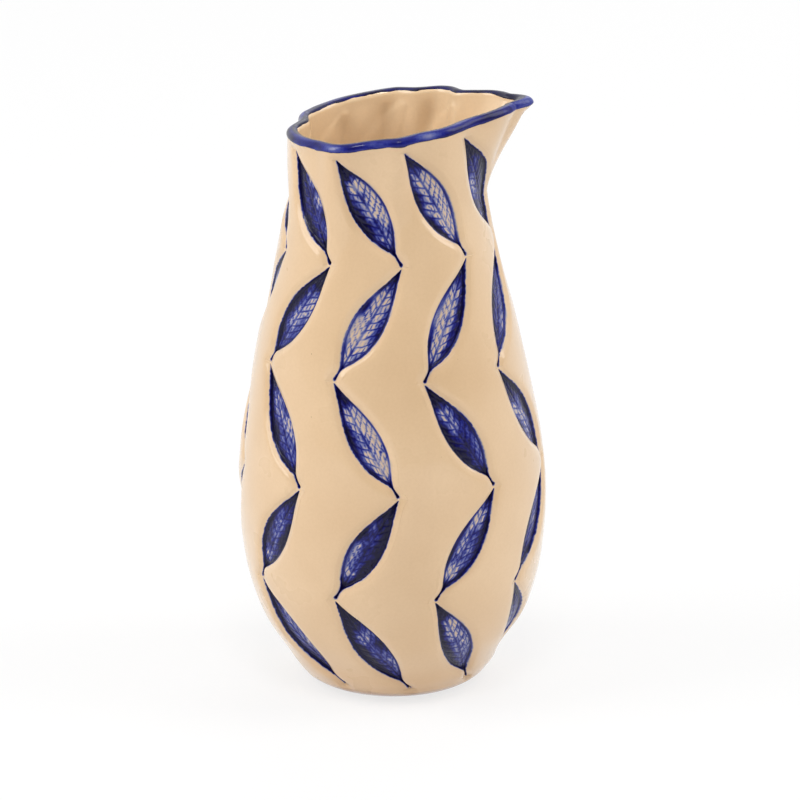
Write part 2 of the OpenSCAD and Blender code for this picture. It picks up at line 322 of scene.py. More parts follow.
def smooth_curve(knots):
    """A function through the knots, in cubic pieces whose slopes follow both neighbours."""
    x, y = np.array(knots, float).T
    run = np.diff(x)
    slope = np.diff(y) / run
    inner = (slope[:-1] * run[1:] + slope[1:] * run[:-1]) / (run[:-1] + run[1:])
    first = 1.5 * slope[0] - 0.5 * inner[0]
    final = 1.5 * slope[-1] - 0.5 * inner[-1]
    slopes = np.concatenate([[first], inner, [final]])

    def value(at):
        at = np.clip(at, x[0], x[-1])
        i = np.clip(np.searchsorted(x, at, side="right") - 1, 0, len(run) - 1)
        u = (at - x[i]) / run[i]
        return (y[i] * (2 * u ** 3 - 3 * u ** 2 + 1) + slopes[i] * run[i] * (u ** 3 - 2 * u ** 2 + u)
                + y[i + 1] * (3 * u ** 2 - 2 * u ** 3) + slopes[i + 1] * run[i] * (u ** 3 - u ** 2))

    return value


profile = smooth_curve(
    [(FOOT_H + s * (BELLY_Z - FOOT_H), between(BASE_R, BELLY_R, r)) for s, r in BASE_SHARES]
    + [(between(BELLY_Z, NECK_Z, s), between(BELLY_R, NECK_R, r)) for s, r in NECK_SHARES]
    + [(LIP_Z, RIM_R)])
half_width = smooth_curve(
    [(0, STEM_W / 2)] + [(s * LEAF_L, max(STEM_W, w * LEAF_W) / 2) for s, w in LEAF_SHARES]
    + [(LEAF_L, STEM_W * TIP_SHARE / 2)])


def cosd(a):
    return np.cos(np.radians(a))


def sind(a):
    return np.sin(np.radians(a))


def apart(a, b):
    """Angle between two directions, without sign."""
    d = np.abs(a - b) % 360
    return np.minimum(d, 360 - d)


def bump(a, half):
    """A round rise from 0 at half to 1 in the middle."""
    return np.where(a < half, cosd(90 * np.minimum(a, half) / half) ** 2, 0.0)


def beak(a):
    """The narrow rounded point in the middle of the spout."""
    r = BEAK_ROUND_SHARE * BEAK_ANGLE
    return np.maximum(0, 1 - (np.hypot(a, r) - r) / (math.hypot(BEAK_ANGLE, r) - r))


def spout(a, z):
    """How far the spout stands out from the round wall."""
    reach = SPOUT_REACH * clip((z - SPOUT_Z) / (LIP_Z - SPOUT_Z)) ** SPOUT_BEND
    return reach * ((1 - BEAK_SHARE) * bump(a, SPOUT_ANGLE) + BEAK_SHARE * beak(a))


def flutes(a, z):
    """The soft dents that deepen towards the rim."""
    total = sum(share * bump(apart(a, place), FLUTE_ANGLE) for place, share in FLUTES)
    return FLUTE_D * ease((z - LIP_Z + FLUTE_H) / FLUTE_H) * total


def outer_r(a, z):
    """Radius of the outside, before the lean."""
    return profile(z) + spout(apart(a, 0), z) - flutes(a, z)


def inner_r(a, z):
    """Radius of the inside, a wall's thickness in, with a round corner above the floor."""
    slope = (profile(z + PROBE) - profile(z - PROBE)) / (2 * PROBE)
    u = clip((FLOOR_Z + CORNER_R - z) / CORNER_R)
    corner = CORNER_R * (1 - np.sqrt(1 - u ** 2))
    thick = BEAK_T * beak(apart(a, 0)) * clip((z - SPOUT_Z) / (LIP_Z - SPOUT_Z))
    return outer_r(a, z) - WALL * np.sqrt(1 + slope ** 2) - corner - thick


def skin(a, z, turn=0.0, off=0.0):
    """Points on the wall: turn is 0 outside, 180 inside and between them over the lip."""
    ro = outer_r(a, z)
    ri = inner_r(a, z)
    slope_out = (outer_r(a, z + PROBE) - ro) / PROBE
    slope_in = (inner_r(a, z + PROBE) - ri) / PROBE
    m = np.where(turn == 0, slope_out, np.where(turn == 180, slope_in, 0.0))
    n = off / np.sqrt(1 + m ** 2)
    r = (ro + ri) / 2 + ((ro - ri) / 2 + n) * cosd(turn)
    climb = math.tan(math.radians(RIM_ANGLE)) * cosd(a) * outer_r(a, LIP_Z)
    climb = climb * clip((z - LIP_Z + CLIMB_H) / CLIMB_H) ** 2
    up = climb + (LIP_R + off) * sind(turn) - m * n * cosd(turn)
    centre = MOUTH_FORWARD * ease((z - NECK_Z) / (LIP_Z - NECK_Z)) - NECK_BACK * clip(z / NECK_Z) ** LEAN_BEND
    return np.stack([centre + r * cosd(a), r * sind(a), z + up], axis=-1)


def wall_normal(a, z):
    """Unit normals of the wall's outside."""
    step = 0.1
    across = skin(a + step, z) - skin(a - step, z)
    up = skin(a, np.minimum(z + step, LIP_Z)) - skin(a, np.maximum(z - step, FOOT_H))
    n = np.cross(across, up)
    return n / np.linalg.norm(n, axis=-1, keepdims=True)


def lattice_noise(x, y, seed):
    """A smooth random field from -1 to 1, with one random value at each whole-number point."""
    size = 64
    table = np.random.default_rng(seed).uniform(-1, 1, (size, size))
    ix = np.floor(x).astype(int)
    iy = np.floor(y).astype(int)
    u = ease(x - ix)
    v = ease(y - iy)
    low = between(table[ix % size, iy % size], table[(ix + 1) % size, iy % size], u)
    high = between(table[ix % size, (iy + 1) % size], table[(ix + 1) % size, (iy + 1) % size], u)
    return between(low, high, v)


def leaf_places(row):
    """Direction, height, lean and seed of each leaf of a row."""
    lean = LEAF_TILT if row % 2 == 0 else -LEAF_TILT
    z = between(ROW_LOW, ROW_HIGH, (row - 1) / (LEAF_ROWS - 1))
    return [((i + COLUMN_SHARE) * 360 / LEAF_COLUMNS, z, lean, row * 100 + i) for i in range(LEAF_COLUMNS)]


all_leaves = [leaf for row in range(1, LEAF_ROWS + 1) for leaf in leaf_places(row)]


def leaf_frame(leaf, a, z):
    """Distance along a leaf from its stem's end, and across it, of places on the wall."""
    column_a, row_z, lean, _ = leaf
    turn = (a - column_a + 180) % 360 - 180
    side = np.radians(turn) * profile(z)
    rise = z - row_z
    along = rise * cosd(lean) + side * sind(lean)
    across = side * cosd(lean) - rise * sind(lean)
    return along + LEAF_L / 2, across


def outline_distance(along, across):
    """Distance to a leaf's outline, below zero inside it."""
    inside = np.clip(along, 0, LEAF_L)
    half = half_width(inside)
    slope = (half_width(inside + PROBE) - half_width(inside - PROBE)) / (2 * PROBE)
    past = along - inside
    side = (np.abs(across) - half) / np.sqrt(1 + slope ** 2)
    return np.where(past == 0, side, np.hypot(past, across) - half)


def leaf_distance(a, z):
    """Distance to the nearest leaf, blended where two leaves are about as near."""
    a, z = np.broadcast_arrays(a, z)
    total = np.zeros(a.shape)
    for leaf in all_leaves:
        beside = apart(a, leaf[0]) < NEAR_ANGLE
        near = beside & (np.abs(z - leaf[1]) < LEAF_RISE / 2 + NEAR_H)
        if near.any():
            d = outline_distance(*leaf_frame(leaf, a[near], z[near]))
            total[near] += np.exp(-np.clip(d, *NEAR_SPAN) / HALO_SOFT)
    return -HALO_SOFT * np.log(total + TINY)


def ground(a, z, d):
    """Height of the clay's own surface: soft hollows round the leaves and slow waves of the hand."""
    halo = -HALO_D * (1 - ease(d / HALO_W)) + RIDGE_D * np.exp(-((d - RIDGE_AT) / RIDGE_W) ** 2)
    wave = sum(share * sind(turns * a + rise * z + start) for turns, rise, start, share in WAVES)
    wave = wave * WAVE_D / 3 * (1 + NECK_WAVE * ease((z - NECK_WAVE_Z) / NECK_WAVE_H)) - WAVE_BACK
    return (halo + wave) * ease((LIP_Z - z) / FADE_H) * ease((z - FOOT_H) / FADE_H)


def bulge(a, z):
    """How far the inside stands out behind the pressed leaves, and at the soft folds below the mouth."""
    relief = BULGE_D * ease(1 - leaf_distance(a, z) / BULGE_W)
    for place, drift, reach, height, half in FOLDS:
        share = clip((LIP_Z - z) / reach)
        fold = height * np.exp(-(apart(a, place + drift * share) / half) ** 2)
        relief = relief + fold * ease(1 - share) * ease((LIP_Z - z) / FOLD_FADE_H)
    return relief * ease((LIP_Z - z) / FADE_H)


def pressed(own, near, deep):
    """Depth of a round shoulder by the distance to any leaf, and of a leaf's wall and plate by its own."""
    shoulder = SHOULDER_D * ease((SHOULDER_OUT - near) / (SHOULDER_OUT + SHOULDER_IN))
    return -shoulder - deep * PRESS_D * ease((PRESS_OUT - own) / (PRESS_OUT + PRESS_IN))


def veins(along, across, seed):
    """Strength of the side veins and of the midrib, from 0 on the plate to 1 in a groove."""
    warp = VEIN_WARP * lattice_noise(along / 3, across / 3, seed + 7)
    t = np.abs(across) + 0.25 * lattice_noise(along / 2.5, across / 2.5 + 9, seed + 8)
    g = along - VEIN_SWEEP * t - VEIN_BEND * t ** 2 + np.where(across < 0, VEIN_GAP / 2, 0) + warp
    to_vein = np.abs(g - np.round(g / VEIN_GAP) * VEIN_GAP) / VEIN_STRETCH
    shift = 0.5 * (np.floor(g / VEIN_GAP) % 2)
    e = t * CROSS_STRETCH / CROSS_GAP + shift + 0.3 * lattice_noise(along / 2, across / 2, seed + 11)
    to_cross = np.abs(e - np.round(e)) * CROSS_GAP
    vein = np.exp(-(to_vein / VEIN_W) ** 2)
    cross = CROSS_SHARE * np.exp(-(to_cross / CROSS_W) ** 2)
    rib = np.exp(-(across / RIB_W) ** 2)
    return np.maximum(vein, cross), rib


def row_places(row, z, side):
    """Sideways place of a row's midribs at heights, from the middle of their columns, and the width of a
    leaf beside it, to the left where side is -1 and to the right where it is 1."""
    _, row_z, lean, _ = leaf_places(row)[0]
    up = z - row_z
    half = np.full(np.shape(z), STEM_W / 2)
    # The width is wanted at its own edge, which a few rounds find
    for _ in range(8):
        half = half_width(LEAF_L / 2 + (up + side * half * sind(lean)) / cosd(lean))
    half = np.maximum(half, STEM_W / 2)
    return up * math.tan(math.radians(lean)), half


def leaf_surface(leaf, a, z):
    """Depth and amount of blue of a leaf's surface at places on the wall."""
    seed = leaf[3]
    rng = np.random.default_rng(seed)
    tone = rng.uniform(0, 1)
    deep = rng.uniform(*PRESS_RANGE)
    side_sign = rng.choice([-1, 1], p=[0.7, 0.3])
    along, across = leaf_frame(leaf, a, z)
    own = outline_distance(along, across)
    near = leaf_distance(a, z)
    half = half_width(np.clip(along, 0, LEAF_L))
    net, rib = veins(along, across, seed)
    plate = ease((-own - PLATE_AT) / PLATE_SOFT)
    groove = np.maximum(net, rib) * plate
    edge = EDGE_D * np.exp(-((own + EDGE_AT) / EDGE_W) ** 2)
    depth = ground(a, z, near) + pressed(own, near, deep)
    depth += plate * (PLATE_RISE - VEIN_D * net - RIB_D * rib) - edge

    # The blue runs into the grooves, the ends and one side, and is wiped thin on the plate
    share = along / LEAF_L
    ends = np.maximum(ease((STEM_END - share) / STEM_SOFT), ease((share - TIP_START) / TIP_SOFT))
    back = ease((side_sign * across / half - BACK_START) / BACK_SOFT)
    blobs = lattice_noise(along / BLOB_L, across / BLOB_W, seed + 1)
    spots = lattice_noise(along / SPOT_W, across / SPOT_W, seed + 2)
    wash = WASH_LEAST + WASH_TONE * tone + WASH_ENDS * np.maximum(ends, BACK_SHARE * back)
    wash = wash + WASH_BLOBS * blobs
    cell = CELL_LEAST + (1 - CELL_LEAST) * clip(1.25 * wash - 0.5 + 0.18 * spots)
    line = clip(0.3 + 0.72 * wash + 0.1 * spots)
    blue = between(cell, line, groove)
    edge_line = np.exp(-((own + LINE_AT) / LINE_W) ** 2) * clip(0.45 + 0.65 * wash)
    # Darker blue along each leaf's left side: partly pooled blue, partly painted shade of the wall there
    pool_and_shade = ease((-across / half - POOL_SHADE_FROM) / POOL_SHADE_SOFT) * clip(0.35 + 0.75 * wash + 0.3 * blobs)
    blue = np.maximum(np.maximum(blue, edge_line), pool_and_shade)
    ragged = RAGGED * lattice_noise(along / RAG_W, across / RAG_W, seed + 3)
    painted = ease((PAINT_OUT - own + ragged) / PAINT_SOFT)
    streaky = clip(0.3 + lattice_noise(along / 4, across / 3, seed + 4))
    smear = SMEAR * ease(1 - own / SMEAR_OUT) * streaky
    return depth, np.maximum(blue * painted, smear)


def add_piece(name, points, faces, material, blue=None, flat_from=None):
    """A mesh object from points in millimetres; faces from flat_from on are shaded flat."""
    mesh = bpy.data.meshes.new(name)
    mesh.from_pydata((np.asarray(points) * MM).tolist(), [], faces)
    mesh.shade_smooth()
    if flat_from is not None:
        smooth = np.ones(len(mesh.polygons), bool)
        smooth[flat_from:] = False
        mesh.polygons.foreach_set("use_smooth", smooth)
    if blue is not None:
        layer = mesh.attributes.new("blue", "FLOAT", "POINT")
        layer.data.foreach_set("value", np.asarray(blue, np.float32))
    mesh.materials.append(material)
    mesh.update()
    piece = bpy.data.objects.new(name, mesh)
    bpy.context.scene.collection.objects.link(piece)
    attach(piece, "root")
    return piece


def band(low, high, count):
    """Quads between two rings that start at these points and run once round the jug."""
    k = np.arange(count)
    after = (k + 1) % count
    return np.stack([low + k, low + after, high + after, high + k], axis=1).tolist()


def ring_faces(rings, count, first=0):
    """Quads between rings of points that follow one another."""
    faces = []
    for j in range(rings - 1):
        low = first + j * count
        faces += band(low, low + count, count)
    return faces


def fan(centre, ring, flip=False):
    """Triangles from a centre point to a ring of points."""
    faces = [[centre, ring[i - 1], ring[i]] for i in range(len(ring))]
    return [face[::-1] for face in faces] if flip else faces


def grid_angles(fine, coarse):
    """Directions round the jug, close together on the beak."""
    beak_zone = 1.4 * BEAK_ANGLE
    front = np.linspace(-beak_zone, beak_zone, fine, endpoint=False)
    rest = np.linspace(beak_zone, 360 - beak_zone, coarse, endpoint=False)
    return np.concatenate([front, rest])


def linear(red, green, blue):
    """A colour written in screen values of 0 to 255, as the shader needs it."""
    values = [c / 255 for c in (red, green, blue)]
    return tuple(c / 12.92 if c <= 0.04045 else ((c + 0.055) / 1.055) ** 2.4 for c in values) + (1.0,)


# Colours of the glazed clay outside and inside, of the bare clay, and of the blue from thin to thick
CLAY_LIGHT = linear(229, 198, 160)
CLAY_DEEP = linear(220, 187, 147)
CLAY_WARM = linear(206, 164, 118)
CLAY_EDGE = linear(158, 110, 70)
# The inside is the same glaze over the same clay as the outside, painted lighter: painted light in the mouth
INSIDE_BRIGHTENED_LIGHT = linear(246, 218, 180)
INSIDE_BRIGHTENED_DEEP = linear(239, 207, 165)
BARE_LIGHT = linear(196, 156, 114)
BARE_DEEP = linear(168, 124, 84)
SPECK = linear(120, 84, 56)
BLUE_STOPS = ((0.0, linear(192, 176, 158)), (0.2, linear(144, 144, 172)), (0.4, linear(72, 81, 151)),
              (0.58, linear(30, 36, 125)), (0.76, linear(12, 10, 90)), (1.0, linear(5, 1, 44)))

# Gloss of the glaze over bare clay and over cobalt, which mattes it
COAT_CLAY = 0.9
COAT_BLUE = 0.3


def new_material(name):
    """An empty node material with its shader."""
    material = bpy.data.materials.new(name)
    material.use_nodes = True
    tree = material.node_tree
    tree.nodes.clear()
    output = tree.nodes.new("ShaderNodeOutputMaterial")
    shader = tree.nodes.new("ShaderNodeBsdfPrincipled")
    tree.links.new(shader.outputs[0], output.inputs["Surface"])
    return material, tree, shader


def noise(tree, place, scale, detail=3.0):
    """A noise texture with a number of sizes of detail."""
    made = tree.nodes.new("ShaderNodeTexNoise")
    tree.links.new(place, made.inputs["Vector"])
    made.inputs["Scale"].default_value = scale
    made.inputs["Detail"].default_value = detail
    made.inputs["Roughness"].default_value = 0.5
    return made.outputs["Fac"]


def span(tree, value, low, high, out_low=0.0, out_high=1.0):
    """A value carried from one span of numbers to another, and held at its ends."""
    made = tree.nodes.new("ShaderNodeMapRange")
    tree.links.new(value, made.inputs["Value"])
    made.inputs["From Min"].default_value = low
    made.inputs["From Max"].default_value = high
    made.inputs["To Min"].default_value = out_low
    made.inputs["To Max"].default_value = out_high
    return made.outputs["Result"]


def sum_of(tree, first, second, operation="ADD"):
    """The sum of two values, or what another operation makes of them."""
    made = tree.nodes.new("ShaderNodeMath")
    made.operation = operation
    for socket, value in zip(made.inputs, (first, second)):
        if isinstance(value, (int, float)):
            socket.default_value = value
        else:
            tree.links.new(value, socket)
    return made.outputs[0]


def blend_colours(tree, share, first, second):
    """The first colour, with the second over it by the share."""
    made = tree.nodes.new("ShaderNodeMix")
    made.data_type = "RGBA"
    tree.links.new(share, made.inputs["Factor"])
    for socket, value in zip((made.inputs[6], made.inputs[7]), (first, second)):
        if isinstance(value, tuple):
            socket.default_value = value
        else:
            tree.links.new(value, socket)
    return made.outputs[2]


def uneven(tree, height, strength):
    """Normals of a surface with grain 0.2 mm high."""
    made = tree.nodes.new("ShaderNodeBump")
    made.inputs["Strength"].default_value = strength
    made.inputs["Distance"].default_value = 0.2 * MM
    tree.links.new(height, made.inputs["Height"])
    return made.outputs[0]


def glaze(name, light=CLAY_LIGHT, deep=CLAY_DEEP, blue=False, foot_line=False):
    """Clear glaze over buff clay, with slow tints, fine grain and rare specks, and blue under it."""
    material, tree, shader = new_material(name)
    place = tree.nodes.new("ShaderNodeTexCoord").outputs["Object"]
    tint = span(tree, noise(tree, place, 22, 2), 0.3, 0.7)
    colour = blend_colours(tree, tint, light, deep)
    grain = span(tree, noise(tree, place, 900, 2), 0.35, 0.75, 0.0, 0.05)
    colour = blend_colours(tree, grain, colour, CLAY_EDGE)
    cells = tree.nodes.new("ShaderNodeTexVoronoi")
    tree.links.new(place, cells.inputs["Vector"])
    cells.inputs["Scale"].default_value = 150
    chosen = tree.nodes.new("ShaderNodeSeparateColor")
    tree.links.new(cells.outputs["Color"], chosen.inputs[0])
    dot = span(tree, cells.outputs["Distance"], 0.045, 0.025)
    rare = span(tree, chosen.outputs[0], 0.90, 0.905, 0.0, 0.75)
    colour = blend_colours(tree, sum_of(tree, dot, rare, "MULTIPLY"), colour, SPECK)
    if foot_line:
        height = tree.nodes.new("ShaderNodeSeparateXYZ")
        tree.links.new(place, height.inputs[0])
        wavy = sum_of(tree, height.outputs["Z"], span(tree, noise(tree, place, 40, 1), 0, 1, 0, 0.003))
        colour = blend_colours(tree, span(tree, wavy, 0.024, 0.004, 0.0, 0.4), colour, CLAY_WARM)
        colour = blend_colours(tree, span(tree, wavy, 0.0068, 0.0048, 0.0, 0.85), colour, CLAY_EDGE)
    if blue:
        amount = tree.nodes.new("ShaderNodeAttribute")
        amount.attribute_name = "blue"
        fine = span(tree, noise(tree, place, 1100, 2), 0.25, 0.75, -0.09, 0.09)
        inked = sum_of(tree, amount.outputs["Fac"], sum_of(tree, fine, amount.outputs["Fac"], "MULTIPLY"))
        ramp = tree.nodes.new("ShaderNodeValToRGB")
        tree.links.new(inked, ramp.inputs[0])
        stops = ramp.color_ramp.elements
        stops[0].position, stops[0].color = BLUE_STOPS[0]
        stops[1].position, stops[1].color = BLUE_STOPS[-1]
        for position, value in BLUE_STOPS[1:-1]:
            stops.new(position).color = value
        colour = blend_colours(tree, span(tree, inked, 0.0, 0.25), colour, ramp.outputs[0])
        tree.links.new(span(tree, inked, 0.1, 0.5, COAT_CLAY, COAT_BLUE), shader.inputs["Coat Weight"])
    tree.links.new(colour, shader.inputs["Base Color"])
    tree.links.new(span(tree, noise(tree, place, 45), 0.2, 0.8, 0.24, 0.36), shader.inputs["Roughness"])
    shader.inputs["IOR"].default_value = 1.5
    shader.inputs["Specular IOR Level"].default_value = 0.16
    shader.inputs["Coat Weight"].default_value = COAT_CLAY
    shader.inputs["Coat Roughness"].default_value = 0.06
    peel = uneven(tree, noise(tree, place, 260, 2), 0.06)
    tree.links.new(peel, shader.inputs["Normal"])
    tree.links.new(peel, shader.inputs["Coat Normal"])
    return material


def bare_clay(name):
    """Unglazed fired clay: matt, grainy and a little stained."""
    material, tree, shader = new_material(name)
    place = tree.nodes.new("ShaderNodeTexCoord").outputs["Object"]
    tint = span(tree, noise(tree, place, 80, 5), 0.3, 0.7)
    colour = blend_colours(tree, tint, BARE_LIGHT, BARE_DEEP)
    grain = span(tree, noise(tree, place, 1400, 3), 0.4, 0.75, 0.0, 0.35)
    colour = blend_colours(tree, grain, colour, SPECK)
    tree.links.new(colour, shader.inputs["Base Color"])
    tree.links.new(span(tree, noise(tree, place, 500), 0.2, 0.8, 0.7, 0.9), shader.inputs["Roughness"])
    tree.links.new(uneven(tree, noise(tree, place, 1600, 3), 0.5), shader.inputs["Normal"])
    return material


def row_heights(row, count):
    """Heights of a row's rings, from half the gap below its leaves to half the gap above them."""
    _, row_z, _, _ = leaf_places(row)[0]
    half = (LEAF_RISE + ROW_GAP) / 2
    return np.linspace(row_z - half, row_z + half, count)


def body_grid():
    """Heights, directions and trench depths of the rings of the body's outside, which follow the leaves."""
    low = row_heights(1, 2)[0]
    high = row_heights(LEAF_ROWS, 2)[1]
    end = np.array(END_LINES)
    bands = [(FOOT_H + np.array(FOOT_LINES), 1), (low + end, 1)]
    for row in range(1, LEAF_ROWS + 1):
        z = row_heights(row, BODY_STATIONS)[:-1]
        bands.append((z[(z > low + END_CLEAR) & (z < high - END_CLEAR)], row))
    bands += [(high - end[::-1], LEAF_ROWS), (np.linspace(high + end[-1], LIP_Z, 6), LEAF_ROWS)]
    z = np.concatenate([heights for heights, _ in bands])
    row_of = np.concatenate([np.full(len(heights), row) for heights, row in bands])
    held = np.clip(z, low, high)
    sunk = (z > low + END_SOLID) & (z < high - END_SOLID)

    # Each leaf has seven lines: a seam, a bank of the trench, three on its floor, a bank and a seam. The
    # other directions fill the gap to the next leaf, spaced by the running sum of how they crowd
    table = np.arange(-80, 441, 0.25)
    beside = apart(table, 0)
    angles = np.empty((len(z), LEAF_COLUMNS * BODY_CELLS))
    trench = np.zeros_like(angles)
    lines = np.array([SEAM, TRENCH_OUT, -TRENCH_IN])
    for j in range(len(z)):
        middle, left = row_places(row_of[j], held[j], -1)
        _, right = row_places(row_of[j], held[j], 1)
        slant = 1 / cosd(LEAF_TILT)
        own = np.concatenate([middle - (left + lines) * slant, [middle],
                              middle + (right + lines[::-1]) * slant])
        own = np.degrees(own / profile(held[j]))
        crowd = 1 + CROWD * ease((held[j] - SPOUT_Z) / CROWD_H) * np.exp(-(beside / CROWD_ANGLE) ** 2)
        crowd = np.concatenate([[0], np.cumsum(crowd[1:] + crowd[:-1])])
        for i in range(LEAF_COLUMNS):
            here = (i + COLUMN_SHARE) * 360 / LEAF_COLUMNS + own
            ends = np.interp([here[-1], here[0] + 360 / LEAF_COLUMNS], table, crowd)
            gap = np.interp(np.linspace(*ends, BODY_CELLS - len(own) + 2)[1:-1], crowd, table)
            first = i * BODY_CELLS
            angles[j, first:first + BODY_CELLS] = np.concatenate([here, gap])
            trench[j, first + 2:first + 5] = -TRENCH_D * sunk[j]
    return z[:, None], angles, trench


def inside_heights(fine, coarse, corner):
    """Heights down the inside: fine just below the lip, then coarse, then round the corner to the floor."""
    return np.concatenate([np.linspace(LIP_Z, FINE_TO, fine, endpoint=False),
                           np.linspace(FINE_TO, FLOOR_Z + CORNER_R, coarse, endpoint=False),
                           FLOOR_Z + CORNER_R * (1 - sind(np.linspace(0, 90, corner)))])


def make_body(material):
    """Wall, lip, inside and floor: its outside is hollow under each leaf's own surface."""
    outside, a, trench = body_grid()
    outside = np.repeat(outside, a.shape[1], axis=1)
    count = a.shape[1]
    depth = ground(a, outside, leaf_distance(a, outside)) + trench
    wall = skin(a, outside) + wall_normal(a, outside) * depth[..., None]
    a = a[-1:]
    turns = np.arange(20, 180, 20.0)[:, None]
    lip = skin(a, np.full_like(turns, LIP_Z), turns)
    drop = inside_heights(10, 41, 10)[:, None]
    back = INSIDE_BACK * ease((LIP_Z - INSIDE_BACK_FROM - drop) / INSIDE_BACK_H)
    inside = skin(a, drop, 180.0, bulge(a, drop) - back)
    rings = np.concatenate([wall, lip, inside]).reshape(-1, 3)
    total = len(wall) + len(lip) + len(inside)
    points = np.concatenate([rings, [[0, 0, FOOT_H], [-FLOOR_BACK, 0, FLOOR_Z - INSIDE_BACK]]])
    faces = ring_faces(total, count)
    last = (total - 1) * count
    flat_from = len(faces)
    faces += fan(len(points) - 2, list(range(count)), flip=True)
    faces += fan(len(points) - 1, list(range(last, last + count)))
    piece = add_piece("glazed_body", points, faces, material, flat_from=flat_from)
    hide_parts("stoneware_body")


def leaf_patch(leaf, row):
    """Top points, underside points and blue of one leaf: a fine top and a plain underside in the trench."""
    z = row_heights(row, LEAF_STATIONS)[:, None]
    middle, left = row_places(row, z, -1)
    _, right = row_places(row, z, 1)
    slant = 1 / cosd(LEAF_TILT)
    core_left = np.maximum(left - CORE_IN, CORE_SHARE * left)
    core_right = np.maximum(right - CORE_IN, CORE_SHARE * right)
    share = np.linspace(1, 0, EDGE_CELLS, endpoint=False)[None, :]
    plate = np.linspace(0, 1, PLATE_CELLS)[None, :]
    across = np.concatenate([-between(core_left, left + DIP_TO, share),
                             between(-core_left, core_right, plate),
                             between(core_right, right + DIP_TO, share)[:, ::-1]], axis=1)
    a = leaf[0] + np.degrees((middle + across * slant) / profile(z))
    z = np.repeat(z, a.shape[1], axis=1)
    depth, blue = leaf_surface(leaf, a, z)
    past = np.maximum(np.where(across < 0, -across - left, across - right), 0)
    if row == 1:
        past = np.maximum(past, z[0, 0] + DIP_TO + END_DIP - z)
    if row == LEAF_ROWS:
        past = np.maximum(past, z - z[-1, 0] + DIP_TO + END_DIP)
    dip = ease((past - DIP_FROM) / (DIP_TO - DIP_FROM))
    normal = wall_normal(a, z)
    top = skin(a, z) + normal * (depth + between(LIFT, -DIP_D, dip))[..., None]
    chosen = np.linspace(0, a.shape[1] - 1, UNDER_CELLS).astype(int)
    thick = COAT_T * (1 - COAT_THINS * dip[:, chosen])
    under = top[:, chosen] - normal[:, chosen] * thick[..., None]
    return top, under, blue


def make_leaf_row(row, material):
    """The nine leaves of a row, each a closed thin form that fills its recess."""
    points, faces, hidden_faces, blues = [], [], [], []
    total = 0
    for leaf in leaf_places(row):
        top, under, blue = leaf_patch(leaf, row)
        n, m = top.shape[:2]
        k = under.shape[1]
        upper = total + np.arange(n * m).reshape(n, m)
        lower = total + n * m + np.arange(n * k).reshape(n, k)
        quads = np.stack([upper[:-1, :-1], upper[:-1, 1:], upper[1:, 1:], upper[1:, :-1]], axis=-1)
        faces += quads.reshape(-1, 4).tolist()
        closed = np.concatenate([upper[:, :1], lower, upper[:, -1:]], axis=1)
        quads = np.stack([closed[:-1, :-1], closed[1:, :-1], closed[1:, 1:], closed[:-1, 1:]], axis=-1)
        hidden_faces += quads.reshape(-1, 4).tolist()
        hidden_faces.append(upper[0, ::-1].tolist() + lower[0].tolist())
        hidden_faces.append(upper[-1].tolist() + lower[-1, ::-1].tolist())
        points += [top.reshape(-1, 3), under.reshape(-1, 3)]
        blues += [blue.ravel(), np.zeros(n * k)]
        total += n * m + n * k
    piece = add_piece(f"pressed_leaves_{row}", np.concatenate(points), faces + hidden_faces, material,
                      blue=np.concatenate(blues), flat_from=len(faces))
    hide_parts(f"leaf_row_{row}")


def make_rim(material):
    """The brushed blue coat over the lip, with wavy edges: inside it ends on the rounding."""
    angles = grid_angles(*RIM_DIRECTIONS)
    count = len(angles)
    slow, quick = OUTER_SEEDS
    waver = lattice_noise(angles / 9, angles * 0, slow) + 0.5 * lattice_noise(angles / 3.1, angles * 0, quick)
    outer_edge = LIP_Z - (RIM_DOWN + 0.35 * waver)
    slow, quick = INNER_SEEDS
    waver = lattice_noise(angles / 8, angles * 0, slow) + 0.4 * lattice_noise(angles / 2.7, angles * 0, quick)
    inner_edge = RIM_TURN + 7 * waver + RIM_TURN_SPOUT * bump(apart(angles, 0), 26)
    inner_edge = np.minimum(inner_edge, RIM_TURN_MOST)
    share = np.linspace(0, 1, 6, endpoint=False)[:, None]
    out_z = between(outer_edge[None, :], LIP_Z, share)
    turns = np.linspace(0, 1, 31)[:, None] * inner_edge[None, :]
    z = np.concatenate([out_z, np.full(turns.shape, LIP_Z)])
    turn = np.concatenate([np.zeros(out_z.shape), turns])
    a = np.repeat(angles[None, :], len(z), axis=0)
    step = np.linspace(0, 1, len(z))[:, None]
    swell = ease(step / 0.12) * ease((1 - step) / 0.07)
    brush = lattice_noise(a / 5, step * 6, BRUSH_SEED)
    coat = skin(a, z, turn, between(RIM_COAT_EDGE, RIM_COAT_T + 0.04 * brush, swell))
    under = skin(a, z, turn, -RIM_UNDER)
    points = np.concatenate([coat, under[::-1]]).reshape(-1, 3)
    rings = len(z)
    faces = ring_faces(2 * rings, count) + band((2 * rings - 1) * count, 0, count)
    streak = lattice_noise(a / 14, step * 3, STREAK_SEED)
    outer_line = OUTER_LINE * np.exp(-(step / OUTER_LINE_W) ** 2)
    crest_line = CREST_LINE * np.exp(-((turn - CREST_TURN) / CREST_W) ** 2)
    inside = INSIDE_BLUE * ease((turn - 92) / 22)
    back = BACK_BLUE * bump(apart(a, 178), 34)
    front = SPOUT_BLUE * bump(apart(a, 0), 30) * ease((turn - 70) / 30)
    wash = RIM_BLUE + RIM_STREAKS * streak + RIM_BRISTLES * brush
    blue = clip(wash + np.maximum(crest_line, inside) + outer_line + (back + front))
    blues = np.concatenate([blue, blue[::-1]]).ravel()
    piece = add_piece("blue_rim", points, faces, material, blue=blues)
    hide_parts("rim_band")


